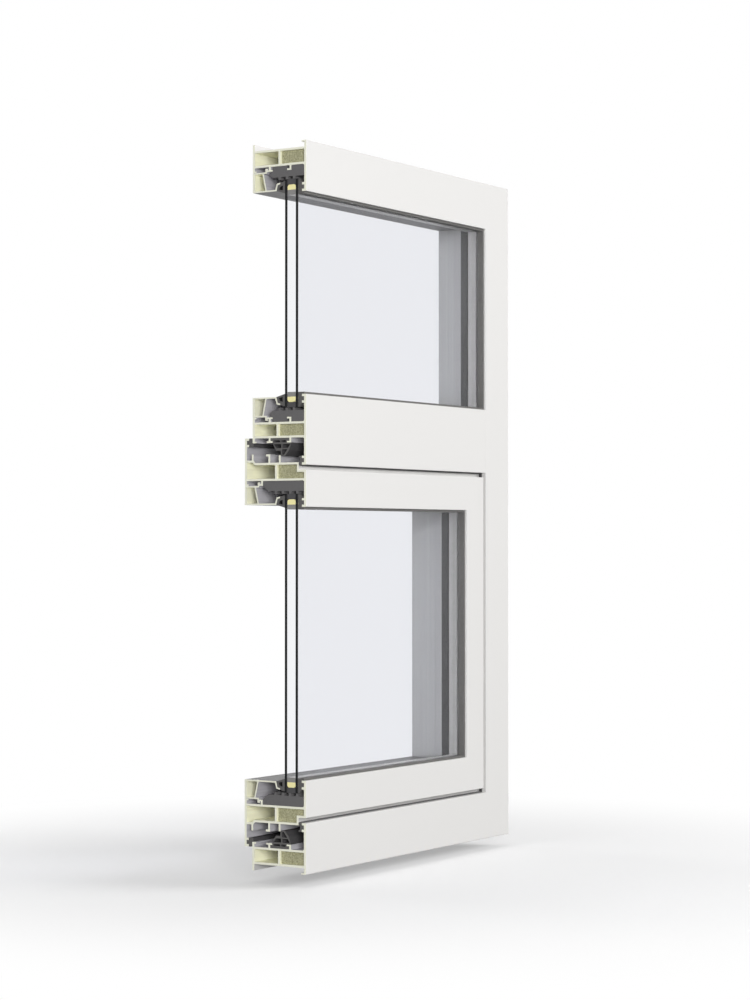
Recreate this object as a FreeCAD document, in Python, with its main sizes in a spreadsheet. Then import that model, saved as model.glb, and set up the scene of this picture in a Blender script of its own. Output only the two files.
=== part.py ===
"""A tilt and turn window in pultruded glass-fibre profiles, sectioned at one end as a sample.

The frame is a head, a sill, a jamb and a transom. A fixed light is glazed above the transom, and
an inward-opening sash hangs below it. Millimetres: X runs along the width, from the cut face on
the left to the jamb on the right, Y runs inward from the exterior face, and Z is up. The origin is
under the middle of the outer box, at the foot of the sill.
"""

import FreeCAD, Part
import os
import re
import Sketcher

SIZES = {
    # Overall sizes of the sample, from the exterior.
    "frame_width": 408,
    "frame_height": 730,
    "vent_height": 355.5,
    "sash_gap": 5,
    # The depth of the frame, and how far the sash stands out behind it.
    "frame_depth": 65,
    "sash_projection": 9.5,
    # Widths of the exterior faces.
    "frame_face": 51,
    "transom_face": 70.4,
    "sash_face": 37,
    # Glass-fibre walls: faces, chamber walls, hooks.
    "skin": 2.4,
    "wall": 2.1,
    "hook_wall": 1.6,
    # The rebate is what lies behind the sight line, down to the chambers.
    "rebate": 27.2,
    "sash_rebate": 26.4,
    "flange": 6.6,
    "hook": 4.8,
    "foot": 4.5,
    "end_lip": 5.5,
    # Where the webs and the near hook stand, from the exterior face.
    "web": 31.5,
    "sash_web": 35.4,
    "near_hook": 18,
    "near_hook_reach": 5,
    # Where the hooks that hold the beads stand, from the interior face.
    "far_hook_back": 21.8,
    "far_hook_reach": 2.5,
    "sash_hook_back": 22.1,
    "sash_hook_reach": 4.6,
    # Grooves that hold the gaskets.
    "lip": 5,
    "lip_wall": 2.3,
    "groove": 4.2,
    # The outer side of the sash: corner rebate, back step, overlap and the hardware groove.
    "corner_depth": 9,
    "corner": 7.5,
    "step": 2.6,
    "step_run": 2.4,
    "overlap": 32.4,
    "guard_lip": 30.8,
    "rear_set": 8.1,
    "lock_reach": 5,
    "hardware_groove": 15.5,
    "lip_height": 8.5,
    "guard_height": 7.2,
    "rear_lip_height": 6,
    # Glazing.
    "glass_start": 9.5,
    "pane": 3,
    "cavity": 10,
    "edge_cover": 13,
    "spacer_height": 4.8,
    "desiccant_height": 5.2,
    "bead_back": 2.2,
    "bead_wall": 1.5,
    "bead_foot": 36,
    "bead_width": 17,
    "bead_slope": 3.7,
    "clip_bite": 1.2,
    # The foam block in the glazing rebate.
    "block_start": 3.2,
    "tooth": 2.8,
    "tooth_gap": 5.9,
    "tooth_height": 2.7,
    "fixed_tooth_start": 13.4,
    "sash_tooth_start": 9.2,
    # Foam fillings stop short of the cut face, and seated pieces keep a hair of room.
    "foam_recess": 3,
    "fit": 0.2,
    # Gaskets.
    "seal_wall": 1.3,
    "seal_drop": 2.2,
    "stop_width": 3.6,
    # Radii: the rebates' roots, the edges that show, the desiccant's back.
    "root_round": 2,
    "edge_round": 0.6,
    "desiccant_round": 2.4,
}

HALF = "frame_width / 2"
CUT = "-frame_width / 2"
SASH_DEPTH = "(frame_depth + sash_projection)"
FRONT = f"-{SASH_DEPTH} / 2"
FAR_HOOK = "(frame_depth - far_hook_back)"
TIP_ROUND = "2 * seal_wall / 5"
SASH_HOOK = f"({SASH_DEPTH} - sash_hook_back)"

doc = FreeCAD.newDocument("tilt_and_turn_window")
sheet = doc.addObject("Spreadsheet::Sheet", "Sizes")
for row, (alias, value) in enumerate(SIZES.items(), 1):
    sheet.set(f"A{row}", alias)
    sheet.set(f"B{row}", str(value))
    sheet.setAlias(f"B{row}", alias)
doc.recompute()

subparts = []


def bound(text):
    """The text of a size as an expression that reads the sheet."""
    return re.sub(r"[a-z]\w*", lambda word: "Sizes." + word.group(), str(text))


def size(text):
    """What such a text comes to now, in millimetres."""
    return float(sheet.evalExpression(bound(text)))


def new_body(name, angle, base):
    """A body turned about the depth axis and moved to its base point."""
    body = doc.addObject("PartDesign::Body", name)
    body.Label = name
    turn = FreeCAD.Rotation(FreeCAD.Vector(0, 1, 0), angle)
    body.Placement = FreeCAD.Placement(FreeCAD.Vector(*[size(text) for text in base]), turn)
    for axis, text in zip("xyz", base):
        body.setExpression(f"Placement.Base.{axis}", bound(text))
    subparts.append(body)
    return body


def new_sketch(body, role, name, offset="0"):
    """A sketch on one of the body's own planes, moved along that plane's normal."""
    sketch = body.newObject("Sketcher::SketchObject", name)
    planes = [plane for plane in body.Origin.OriginFeatures if plane.Role == role]
    sketch.AttachmentSupport = [(planes[0], "")]
    sketch.MapMode = "FlatFace"
    sketch.setExpression("AttachmentOffset.Base.z", bound(offset))
    return sketch


def draw(sketch, points, closed=True):
    """Straight lines through the points. Each point is held to the origin by the size that made
    it, and a line along an axis is kept so by a constraint of its own."""
    first = sketch.GeometryCount
    spots = [FreeCAD.Vector(size(across), size(up), 0) for across, up, *_ in points]
    count = len(points)
    last = count if closed else count - 1
    lines = [Part.LineSegment(spots[i], spots[(i + 1) % count]) for i in range(last)]
    sketch.addGeometry(lines, False)
    for i in range(count if closed else last - 1):
        sketch.addConstraint(
            Sketcher.Constraint("Coincident", first + i, 2, first + (i + 1) % count, 1)
        )
    for i in range(count):
        line, end = (first + i, 1) if i < last else (first + last - 1, 2)
        for axis, kind, level in ((0, "DistanceX", "Vertical"), (1, "DistanceY", "Horizontal")):
            if i and points[i][axis] == points[i - 1][axis]:
                sketch.addConstraint(Sketcher.Constraint(level, first + i - 1))
                continue
            now = spots[i][axis]
            held = sketch.addConstraint(Sketcher.Constraint(kind, -1, 1, line, end, now))
            sketch.setExpression(f"Constraints[{held}]", bound(points[i][axis]))


# How near an edge's ends lie to the corner that it is picked by.
HAIR = 0.001


def round_off(body, outlines, lines):
    """Rounds a piece along the corners of its section that name a radius as their third value.
    A line is an axis, where a height of the section starts on it, and the way it goes."""
    doc.recompute()
    radii = {}
    for point in (point for points in outlines for point in points if len(point) > 2):
        radii.setdefault(point[2], []).append(point[:2])
    for number, (radius, spots) in enumerate(radii.items(), 1):
        places = [
            (size(deep), axis, size(f"{start} {sign} ({high})"))
            for deep, high in spots
            for axis, start, sign in lines
        ]
        solid = body.Tip
        picked = []
        for place, edge in enumerate(solid.Shape.Edges, 1):
            ends = [vertex.Point for vertex in edge.Vertexes]
            for deep, axis, level in places:
                if all(abs(p.y - deep) + abs(getattr(p, axis) - level) < HAIR for p in ends):
                    picked.append(f"Edge{place}")
        rounding = body.newObject("PartDesign::Fillet", f"{body.Label}_round_{number}")
        rounding.Base = (solid, picked)
        rounding.setExpression("Radius", bound(radius))
        solid.Visibility = False
        doc.recompute()


def bar(name, outlines, angle, base, ends, corners, reach):
    """A straight length of one profile, drawn on the body's YZ plane and padded along X between
    its ends. Each corner is a place along X and the side that is cut away there at 45 degrees."""
    body = new_body(name, angle, base)
    start, end = ends
    profile = new_sketch(body, "YZ_Plane", name + "_profile", start)
    for points in outlines:
        draw(profile, points)
    pad = body.newObject("PartDesign::Pad", name + "_length")
    pad.Profile = profile
    pad.setExpression("Length", bound(f"{end} - ({start})"))
    profile.Visibility = False
    round_off(body, outlines, [("z", "0", "+")])
    out, across = reach
    for number, (place, side) in enumerate(corners):
        cut = new_sketch(body, "XZ_Plane", f"{name}_mitre_{number}")
        outer = f"{place} {side} ({out})"
        inner = f"{place} {'-' if side == '+' else '+'} ({across})"
        draw(cut, [(outer, f"-({out})"), (outer, across), (inner, across)])
        pocket = body.newObject("PartDesign::Pocket", f"{name}_mitre_cut_{number}")
        pocket.Profile = cut
        pocket.SideType = "Symmetric"
        pocket.Type = "ThroughAll"
    return body


def ring(name, outlines, opening, start="0"):
    """A strip run round the three sides of an opening that the cut leaves whole, mitred at its
    two corners. The outlines are drawn at the top run, as depth and distance behind the sight
    line. The opening is its width from the cut face, its top and its foot."""
    right, top, foot = opening
    body = new_body(name, 0, (CUT, FRONT, "0"))
    route = new_sketch(body, "XZ_Plane", name + "_route")
    draw(route, [(start, top), (right, top), (right, foot), (start, foot)], closed=False)
    profile = new_sketch(body, "YZ_Plane", name + "_profile", start)
    for points in outlines:
        draw(profile, [(deep, f"{top} + {back}") for deep, back, *_ in points])
    pipe = body.newObject("PartDesign::AdditivePipe", name + "_run")
    pipe.Profile = profile
    pipe.Spine = route
    pipe.Transition = "Right corner"
    round_off(body, outlines, [("z", top, "+"), ("x", right, "+"), ("z", foot, "-")])
    return body


# The sections of the glass-fibre profiles. A section is drawn as depth from the exterior face
# and height from the outer edge towards the opening. Sign is + where the opening is above.

def sign_of(sign):
    return "-" if sign == "+" else "+"


def gasket_groove(edge, sign, face="0", depth="skin", reach="lip"):
    """The end of a wall, folded back over a groove that holds a gasket's foot."""
    back = sign_of(sign)
    return [
        (face, edge, "edge_round"),
        (reach, edge),
        (reach, f"{edge} {back} lip_wall"),
        (depth, f"{edge} {back} lip_wall"),
        (depth, f"{edge} {back} (lip_wall + groove)"),
        (reach, f"{edge} {back} (lip_wall + groove)"),
        (reach, f"{edge} {back} (2 * lip_wall + groove)"),
        (depth, f"{edge} {back} (2 * lip_wall + groove)"),
    ]


def near_hook(floor, sign, stem="near_hook", reach="near_hook_reach"):
    """A hook shaped like a J, its foot pointing inward."""
    under = f"{floor} {sign} (hook - hook_wall)"
    tip = f"{floor} {sign} hook"
    return [
        (stem, floor),
        (stem, tip),
        (f"{stem} + {reach}", tip),
        (f"{stem} + {reach}", under),
        (f"{stem} + wall", under),
        (f"{stem} + wall", floor),
    ]


def far_hook(floor, sign):
    """A hook shaped like a T, which holds the bead on one side and a gasket on the other."""
    under = f"{floor} {sign} (hook - hook_wall)"
    tip = f"{floor} {sign} hook"
    return [
        (FAR_HOOK, floor),
        (FAR_HOOK, under),
        (f"{FAR_HOOK} - far_hook_reach", under),
        (f"{FAR_HOOK} - far_hook_reach", tip),
        (f"{FAR_HOOK} + wall + far_hook_reach", tip),
        (f"{FAR_HOOK} + wall + far_hook_reach", under),
        (f"{FAR_HOOK} + wall", under),
        (f"{FAR_HOOK} + wall", floor),
    ]


def inner_edge(floor, sign, depth):
    """The end of an interior wall, with a small foot turned to the exterior."""
    return [
        (f"{depth} - skin", floor),
        (f"{depth} - skin", f"{floor} {sign} (hook - hook_wall)"),
        (f"{depth} - foot", f"{floor} {sign} (hook - hook_wall)"),
        (f"{depth} - foot", f"{floor} {sign} hook"),
        (depth, f"{floor} {sign} hook", "edge_round"),
    ]


def rebate_side(edge, floor, sign):
    """The side of a frame profile that faces an opening, from its exterior face inward."""
    return (
        gasket_groove(edge, sign)
        + [("skin", floor, "root_round")]
        + near_hook(floor, sign)
        + far_hook(floor, sign)
        + inner_edge(floor, sign, "frame_depth")
    )


def box(near, far, low, high, room="0"):
    """A rectangle between two depths and two heights, drawn in on every side by some room."""
    return [
        (f"{near} + {room}", f"{low} + {room}"),
        (f"{near} + {room}", f"{high} - {room}"),
        (f"{far} - {room}", f"{high} - {room}"),
        (f"{far} - {room}", f"{low} + {room}"),
    ]


# The frame profile: an outer flange, a row of two chambers, and the rebate.
FRAME_FLOOR = "(frame_face - rebate)"
FRAME_ROW = ("flange + wall", f"{FRAME_FLOOR} - wall")
FRAME_OUTER = ("skin", "web", *FRAME_ROW)
FRAME_INNER = ("web + wall", "frame_depth - skin", *FRAME_ROW)
FRAME_PROFILE = [
    [("0", "0", "edge_round")]
    + rebate_side("frame_face", FRAME_FLOOR, "+")
    + [
        ("frame_depth", "0", "edge_round"),
        ("frame_depth - skin", "0"),
        ("frame_depth - skin", "flange"),
        ("skin", "flange"),
        ("skin", "hook_wall"),
        ("end_lip", "hook_wall"),
        ("end_lip", "0"),
    ],
    box(*FRAME_OUTER),
    box(*FRAME_INNER),
]

# The transom profile: the same rebate on both sides of one row of chambers.
TRANSOM_EDGE = "(transom_face / 2)"
TRANSOM_FLOOR = "(transom_face / 2 - rebate)"
TRANSOM_ROW = (f"-{TRANSOM_FLOOR} + wall", f"{TRANSOM_FLOOR} - wall")
TRANSOM_OUTER = ("skin", "web + wall", *TRANSOM_ROW)
TRANSOM_INNER = ("web + 2 * wall", "frame_depth - skin", *TRANSOM_ROW)
TRANSOM_PROFILE = [
    rebate_side(TRANSOM_EDGE, TRANSOM_FLOOR, "+")
    + rebate_side(f"-{TRANSOM_EDGE}", f"-{TRANSOM_FLOOR}", "-")[::-1],
    box(*TRANSOM_OUTER),
    box(*TRANSOM_INNER),
]

# The sash profile. Height 0 is the outer edge of its exterior face. Beyond it lie the outer wall
# with its lips and the flange that overlaps the frame inside.
SASH_FLOOR = "(sash_face - sash_rebate)"
SASH_BACK = f"({SASH_DEPTH} - skin)"
BACK_STEP = "(corner + step)"
REAR_LIP = f"({SASH_BACK} - rear_set)"
LOCK_TIP = f"({REAR_LIP} - hardware_groove)"
LOCK_LIP = f"({LOCK_TIP} - lock_reach)"


def sash_outer(room="0"):
    """The sash's exterior chamber, stepped round the corner rebate, drawn in by some room."""
    return [
        (f"skin + {room}", f"wall + {room}"),
        (f"skin + {room}", f"{SASH_FLOOR} - wall - {room}"),
        (f"sash_web - {room}", f"{SASH_FLOOR} - wall - {room}"),
        (f"sash_web - {room}", f"-corner + wall + {room}"),
        (f"corner_depth + wall + {room}", f"-corner + wall + {room}"),
        (f"corner_depth + wall + {room}", f"wall + {room}"),
    ]


SASH_INNER = [
    ("sash_web + wall", f"{SASH_FLOOR} - wall"),
    (SASH_BACK, f"{SASH_FLOOR} - wall"),
    (SASH_BACK, f"-{BACK_STEP} + wall"),
    (f"{REAR_LIP} + wall / 2", f"-{BACK_STEP} + wall"),
    (f"{REAR_LIP} + wall / 2 - step_run", "-corner + wall"),
    ("sash_web + wall", "-corner + wall"),
]
SASH_PROFILE = [
    [("0", "0", "edge_round")]
    + gasket_groove("sash_face", "+")
    + [("skin", SASH_FLOOR, "root_round")]
    + near_hook(SASH_FLOOR, "+", SASH_HOOK, "sash_hook_reach")
    + inner_edge(SASH_FLOOR, "+", SASH_DEPTH)
    + gasket_groove("-overlap", "-", SASH_DEPTH, SASH_BACK, f"{SASH_BACK} - lip + skin")
    + [
        (SASH_BACK, f"-{BACK_STEP}"),
        (f"{REAR_LIP} + wall", f"-{BACK_STEP}"),
        (f"{REAR_LIP} + wall", f"-{BACK_STEP} - rear_lip_height"),
        (REAR_LIP, f"-{BACK_STEP} - rear_lip_height"),
        (REAR_LIP, f"-{BACK_STEP}"),
        (f"{REAR_LIP} - step_run", "-corner"),
        (f"{LOCK_LIP} + wall", "-corner"),
        (f"{LOCK_LIP} + wall", "-corner - lip_height + wall"),
        (LOCK_TIP, "-corner - lip_height + wall"),
        (LOCK_TIP, "-corner - lip_height"),
        (LOCK_LIP, "-corner - lip_height"),
        (LOCK_LIP, "-corner"),
        ("guard_lip + wall", "-corner"),
        ("guard_lip + wall", "-corner - guard_height"),
        ("guard_lip", "-corner - guard_height"),
        ("guard_lip", "-corner"),
        ("corner_depth", "-corner"),
        ("corner_depth", "0"),
    ],
    sash_outer(),
    SASH_INNER,
]


def bead(depth, floor, hook_end, edge):
    """A hollow glazing bead, flush with the interior face, clipped over the hook beside it. Edge
    is the height of the exterior sight line, and floor that of the chambers."""
    top = f"{floor} + hook + fit"
    under = f"{top} + bead_wall"
    low = f"{edge} - bead_back"
    bite = f"{floor} + hook - hook_wall - fit"
    leg = f"{depth} - bead_width"
    return [
        [
            (depth, top),
            (depth, low, "edge_round"),
            ("bead_foot", low),
            ("bead_foot - bead_wall", f"{low} - 4 * bead_wall"),
            ("bead_foot - 3 * bead_wall", f"{low} - 9 * bead_wall / 2"),
            ("bead_foot - 3 * bead_wall", f"{low} - 11 * bead_wall / 2"),
            ("bead_foot - bead_wall / 3", f"{low} - 5 * bead_wall"),
            ("bead_foot + bead_wall", f"{low} - bead_wall"),
            (leg, f"{low} - bead_wall"),
            (f"{leg} + bead_slope", under),
            (f"{hook_end} + fit", under),
            (f"{hook_end} + fit", bite),
            (f"{hook_end} - clip_bite", bite),
            (f"{hook_end} - clip_bite", f"{bite} - bead_wall"),
            (f"{hook_end} + fit + bead_wall", f"{bite} - bead_wall"),
            (f"{hook_end} + fit + bead_wall", top),
        ],
        [
            (f"{depth} - skin", under),
            (f"{depth} - skin", f"{low} - bead_wall"),
            (f"{leg} + bead_wall", f"{low} - bead_wall"),
            (f"{leg} + bead_wall + bead_slope", under),
        ],
    ]


# The frame members. Their corners are cut at 45 degrees, and the left ends are left square where
# the sample is sectioned.
FRAME_REACH = ("wall", "frame_face + wall")
TRANSOM_LEVEL = "(frame_face + vent_height + transom_face / 2)"
JAMB_AT = (HALF, FRONT, "0")
HEAD_CORNERS = [("0", "-")]
SILL_CORNERS = [("frame_width", "+")]
JAMB_CORNERS = [("0", "-"), ("frame_height", "+")]
WHOLE_WIDTH = ("0", "frame_width")

bar("head", FRAME_PROFILE, 180, (HALF, FRONT, "frame_height"), WHOLE_WIDTH, HEAD_CORNERS,
    FRAME_REACH)
bar("sill", FRAME_PROFILE, 0, (CUT, FRONT, "0"), WHOLE_WIDTH, SILL_CORNERS, FRAME_REACH)
jamb = bar("jamb", FRAME_PROFILE, -90, JAMB_AT, ("0", "frame_height"), JAMB_CORNERS, FRAME_REACH)


def notch(body, name, along, bands, near, far):
    """Rectangles cut out of a bar between two depths, each band a lower and an upper height."""
    face = new_sketch(body, "XZ_Plane", name, f"-({near})")
    for band in bands:
        draw(face, box(*along, *band))
    pocket = body.newObject("PartDesign::Pocket", name + "_cut")
    pocket.Profile = face
    pocket.setExpression("Length", bound(f"{far} - ({near})"))


# Where the transom lands, the jamb's gasket groove and its hooks are milled away.
LANDING = f"({TRANSOM_FLOOR} + hook)"
notch(
    jamb,
    "jamb_groove_notch",
    (f"{TRANSOM_LEVEL} - {TRANSOM_EDGE}", f"{TRANSOM_LEVEL} + {TRANSOM_EDGE}"),
    [("frame_face - 2 * lip_wall - groove", "frame_face + wall")],
    "skin",
    "lip + fit",
)
notch(
    jamb,
    "jamb_hook_notch",
    (f"{TRANSOM_LEVEL} - {LANDING}", f"{TRANSOM_LEVEL} + {LANDING}"),
    [(FRAME_FLOOR, f"{FRAME_FLOOR} + hook + wall")],
    "skin",
    "frame_depth - foot - fit",
)

# The transom's chambers run on behind the jamb's exterior face to its chamber wall. The exterior
# face stops against the jamb's, and the interior face against the end of the jamb's.
transom = bar(
    "transom",
    TRANSOM_PROFILE,
    0,
    (CUT, FRONT, TRANSOM_LEVEL),
    ("0", f"frame_width - {FRAME_FLOOR}"),
    [],
    FRAME_REACH,
)
TRANSOM_SIDES = [(f"-{TRANSOM_EDGE} - wall", f"{TRANSOM_EDGE} + wall")]
TRANSOM_HOOKS = [
    (TRANSOM_FLOOR, f"{TRANSOM_EDGE} + wall"),
    (f"-{TRANSOM_EDGE} - wall", f"-{TRANSOM_FLOOR}"),
]
TRANSOM_ENDS = (f"frame_width - {FRAME_FLOOR} - hook", "frame_width")
notch(
    transom,
    "transom_outer_cope",
    ("frame_width - frame_face", "frame_width"),
    TRANSOM_SIDES,
    "-wall",
    "lip + fit",
)
notch(
    transom,
    "transom_inner_cope",
    TRANSOM_ENDS,
    TRANSOM_SIDES,
    "frame_depth - foot - fit",
    "frame_depth + wall",
)
notch(transom, "transom_hook_cope", TRANSOM_ENDS, TRANSOM_HOOKS, "skin", "frame_depth + wall")


def foam(name, outline, angle, base, ends, corners, reach):
    """The filling of a profile's exterior chamber."""
    return bar(name, [outline], angle, base, ends, corners, reach)


frame_fill = box(*FRAME_OUTER, "fit")
transom_fill = box(*TRANSOM_OUTER, "fit")
foam("head_foam", frame_fill, 180, (HALF, FRONT, "frame_height"),
     ("0", "frame_width - foam_recess"), HEAD_CORNERS, FRAME_REACH)
foam("sill_foam", frame_fill, 0, (CUT, FRONT, "0"), ("foam_recess", "frame_width"), SILL_CORNERS,
     FRAME_REACH)
foam("jamb_foam", frame_fill, -90, JAMB_AT, ("0", "frame_height"), JAMB_CORNERS, FRAME_REACH)
foam("transom_foam", transom_fill, 0, (CUT, FRONT, TRANSOM_LEVEL),
     ("foam_recess", "frame_width - frame_face"), [], FRAME_REACH)

# The sash: a top rail, a bottom rail and a stile, mitred like the frame.
SASH_REACH = ("overlap + wall", "sash_face + wall")
SASH_WIDTH = "(frame_width - frame_face - sash_gap)"
SASH_FOOT = "(frame_face + sash_gap)"
SASH_HEIGHT = "(vent_height - 2 * sash_gap)"
SASH_RIGHT = "frame_width / 2 - frame_face - sash_gap"
TOP_AT = (SASH_RIGHT, FRONT, f"{SASH_FOOT} + {SASH_HEIGHT}")
BOTTOM_AT = (CUT, FRONT, SASH_FOOT)
STILE_AT = (SASH_RIGHT, FRONT, SASH_FOOT)
STILE_ENDS = ("-overlap", f"{SASH_HEIGHT} + overlap")
TOP_CORNERS = [("0", "-")]
BOTTOM_CORNERS = [(SASH_WIDTH, "+")]
STILE_CORNERS = [("0", "-"), (SASH_HEIGHT, "+")]

bar("sash_top_rail", SASH_PROFILE, 180, TOP_AT, ("-overlap", SASH_WIDTH), TOP_CORNERS, SASH_REACH)
bar("sash_bottom_rail", SASH_PROFILE, 0, BOTTOM_AT, ("0", f"{SASH_WIDTH} + overlap"),
    BOTTOM_CORNERS, SASH_REACH)
bar("sash_stile", SASH_PROFILE, -90, STILE_AT, STILE_ENDS, STILE_CORNERS, SASH_REACH)

sash_fill = sash_outer("fit")
foam("sash_top_foam", sash_fill, 180, TOP_AT, ("-overlap", f"{SASH_WIDTH} - foam_recess"),
     TOP_CORNERS, SASH_REACH)
foam("sash_bottom_foam", sash_fill, 0, BOTTOM_AT, ("foam_recess", f"{SASH_WIDTH} + overlap"),
     BOTTOM_CORNERS, SASH_REACH)
foam("sash_stile_foam", sash_fill, -90, STILE_AT, STILE_ENDS, STILE_CORNERS, SASH_REACH)

# The glazing beads: three round each light, mitred at the corners.
BEAD_REACH = ("wall", "frame_face + wall")
HOOK_END = f"{FAR_HOOK} + wall + far_hook_reach"
SASH_HOOK_END = f"{SASH_HOOK} + sash_hook_reach"
frame_bead = bead("frame_depth", FRAME_FLOOR, HOOK_END, "frame_face")
transom_bead = bead("frame_depth", TRANSOM_FLOOR, HOOK_END, TRANSOM_EDGE)
sash_bead = bead(SASH_DEPTH, SASH_FLOOR, SASH_HOOK_END, "sash_face")
FIXED_FOOT = f"({TRANSOM_LEVEL} + {TRANSOM_EDGE} - frame_face)"
BEAD_CORNERS = [(FIXED_FOOT, "-"), ("frame_height", "+")]
TRANSOM_CORNER = f"(frame_width - frame_face + {TRANSOM_EDGE})"

bar("fixed_head_bead", frame_bead, 180, (HALF, FRONT, "frame_height"), WHOLE_WIDTH, HEAD_CORNERS,
    BEAD_REACH)
bar("fixed_jamb_bead", frame_bead, -90, JAMB_AT, (FIXED_FOOT, "frame_height"), BEAD_CORNERS,
    BEAD_REACH)
bar("fixed_transom_bead", transom_bead, 0, (CUT, FRONT, TRANSOM_LEVEL), ("0", TRANSOM_CORNER),
    [(TRANSOM_CORNER, "+")], BEAD_REACH)
bar("sash_top_bead", sash_bead, 180, TOP_AT, ("0", SASH_WIDTH), TOP_CORNERS, BEAD_REACH)
bar("sash_bottom_bead", sash_bead, 0, BOTTOM_AT, ("0", SASH_WIDTH), BOTTOM_CORNERS, BEAD_REACH)
bar("sash_stile_bead", sash_bead, -90, STILE_AT, ("0", SASH_HEIGHT), STILE_CORNERS, BEAD_REACH)

# The openings, each as its width from the cut face, its top and its foot: the fixed light, the
# hole that the sash closes, and the sash's own light.
FIXED_LIGHT = (
    "(frame_width - frame_face)",
    "(frame_height - frame_face)",
    "(frame_face + vent_height + transom_face)",
)
VENT = ("(frame_width - frame_face)", "(frame_face + vent_height)", "frame_face")
SASH_LIGHT = (
    f"({SASH_WIDTH} - sash_face)",
    f"({SASH_FOOT} + {SASH_HEIGHT} - sash_face)",
    f"({SASH_FOOT} + sash_face)",
)


def glass(name, light, start):
    """A pane that runs past the sight lines on its three whole sides."""
    right, top, foot = light
    body = new_body(name, 0, (CUT, FRONT, "0"))
    sheet_face = new_sketch(body, "XZ_Plane", name + "_outline", f"-({start} + pane)")
    draw(
        sheet_face,
        box("0", f"{right} + edge_cover", f"{foot} - edge_cover", f"{top} + edge_cover"),
    )
    pad = body.newObject("PartDesign::Pad", name + "_thickness")
    pad.Profile = sheet_face
    pad.setExpression("Length", bound("pane"))


GAP_START = "glass_start + pane"
GAP_END = "glass_start + pane + cavity"


def glazing(light_name, light, floor_depth, hook, hook_reach, left, teeth, first):
    """Everything that fills one light: two panes, the spacer between them with its desiccant and
    edge sealant, the gaskets on both sides, and the foam block in the rebate."""
    glass(light_name + "_outer_pane", light, "glass_start")
    glass(light_name + "_inner_pane", light, GAP_END)
    near = f"{GAP_START} + fit / 2"
    far = f"{GAP_END} - fit / 2"
    spacer_low = "(spacer_height / 2)"
    spacer_top = f"({spacer_low} + desiccant_height)"
    ring(light_name + "_spacer", [box(near, far, f"-{spacer_low}", spacer_low)], light)
    ring(
        light_name + "_desiccant",
        [
            [
                (near, spacer_low),
                (near, spacer_top, "desiccant_round"),
                (far, spacer_top, "desiccant_round"),
                (far, spacer_low),
            ]
        ],
        light,
    )
    ring(
        light_name + "_sealant",
        [box(near, far, f"{spacer_top} + fit", "edge_cover")],
        light,
    )
    # The exterior gasket: a foot in the groove, a strip against the pane and a drip below the lip.
    outer_face = "glass_start - fit"
    foot_low = "lip_wall + fit"
    foot_top = "lip_wall + groove - fit"
    ring(
        light_name + "_outer_gasket",
        [
            [
                ("skin", "-fit"),
                ("skin", "-seal_drop"),
                (outer_face, "-seal_drop"),
                (outer_face, "edge_cover - fit"),
                (f"{outer_face} - seal_wall", "edge_cover - fit"),
                ("lip + fit", "2 * lip_wall + groove"),
                ("lip + fit", foot_top),
                ("skin + fit", foot_top),
                ("skin + fit", foot_low),
                ("lip + fit", foot_low),
                ("lip + fit", "-fit"),
            ]
        ],
        light,
    )
    # The interior gasket: a hollow wedge between the bead's toe and the inner pane.
    inner_face = f"({GAP_END} + pane + fit)"
    toe = "(bead_foot - bead_wall - fit)"
    hook_low = "(bead_back + 9 * bead_wall / 2 - fit)"
    ring(
        light_name + "_inner_gasket",
        [
            [
                (inner_face, "-seal_wall / 2"),
                ("bead_foot - fit", "bead_back"),
                (toe, f"{hook_low} - bead_wall / 2"),
                (f"{toe} - 2 * bead_wall", hook_low),
                (f"{toe} - 2 * bead_wall", f"{hook_low} + bead_wall", TIP_ROUND),
                (inner_face, f"{hook_low} + 2 * bead_wall"),
            ],
            [
                (f"{inner_face} + 2 * seal_wall", "seal_wall + bead_back / 2"),
                (f"{toe} - seal_wall", "seal_wall + bead_back"),
                (f"{toe} - 2 * seal_wall", f"{hook_low} - 2 * seal_wall"),
                (f"{inner_face} + 2 * seal_wall", f"{hook_low} - seal_wall"),
            ],
        ],
        light,
    )
    # The foam block: its back lies on the chambers, round the hooks, and its toothed front meets
    # the edge of the glass.
    back = f"({floor_depth} - fit)"
    past_hook = f"({floor_depth} - hook - fit)"
    face = "(edge_cover + tooth_height + fit)"
    tips = "(edge_cover + fit)"
    outline = [("block_start", back, "root_round")]
    if hook_reach:
        outline += [
            (f"{hook} - fit", back),
            (f"{hook} - fit", past_hook),
            (f"{hook} + {hook_reach} + fit", past_hook),
            (f"{hook} + {hook_reach} + fit", back),
        ]
    outline += left(back, past_hook, face)
    for number in reversed(range(teeth)):
        near_side = f"{first} + {number} * (tooth + tooth_gap)"
        outline += [
            (f"{near_side} + tooth", face),
            (f"{near_side} + tooth", tips),
            (near_side, tips),
            (near_side, face),
        ]
    outline.append(("block_start", face))
    ring(light_name + "_block", [outline], light)


def fixed_block_end(back, past_hook, face):
    """The block's inner end beside the T hook, and the chamfer towards the bead."""
    hook_near = f"{FAR_HOOK} - far_hook_reach - fit"
    return [
        (hook_near, back),
        (hook_near, past_hook),
        (FAR_HOOK, past_hook),
        (FAR_HOOK, f"{face} + wall"),
        (f"{FAR_HOOK} - wall", face),
    ]


def sash_block_end(back, past_hook, face):
    """The block's inner end beside the sash's hook, sloped towards the bead."""
    return [
        (f"{SASH_HOOK} - fit", back),
        (f"{SASH_HOOK} - fit", past_hook),
        (f"{SASH_HOOK} - 3 * wall", face),
    ]


glazing("fixed", FIXED_LIGHT, "rebate", "near_hook", "near_hook_reach", fixed_block_end, 3,
        "fixed_tooth_start")
glazing("sash", SASH_LIGHT, "sash_rebate", "", "", sash_block_end, 4, "sash_tooth_start")

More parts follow.
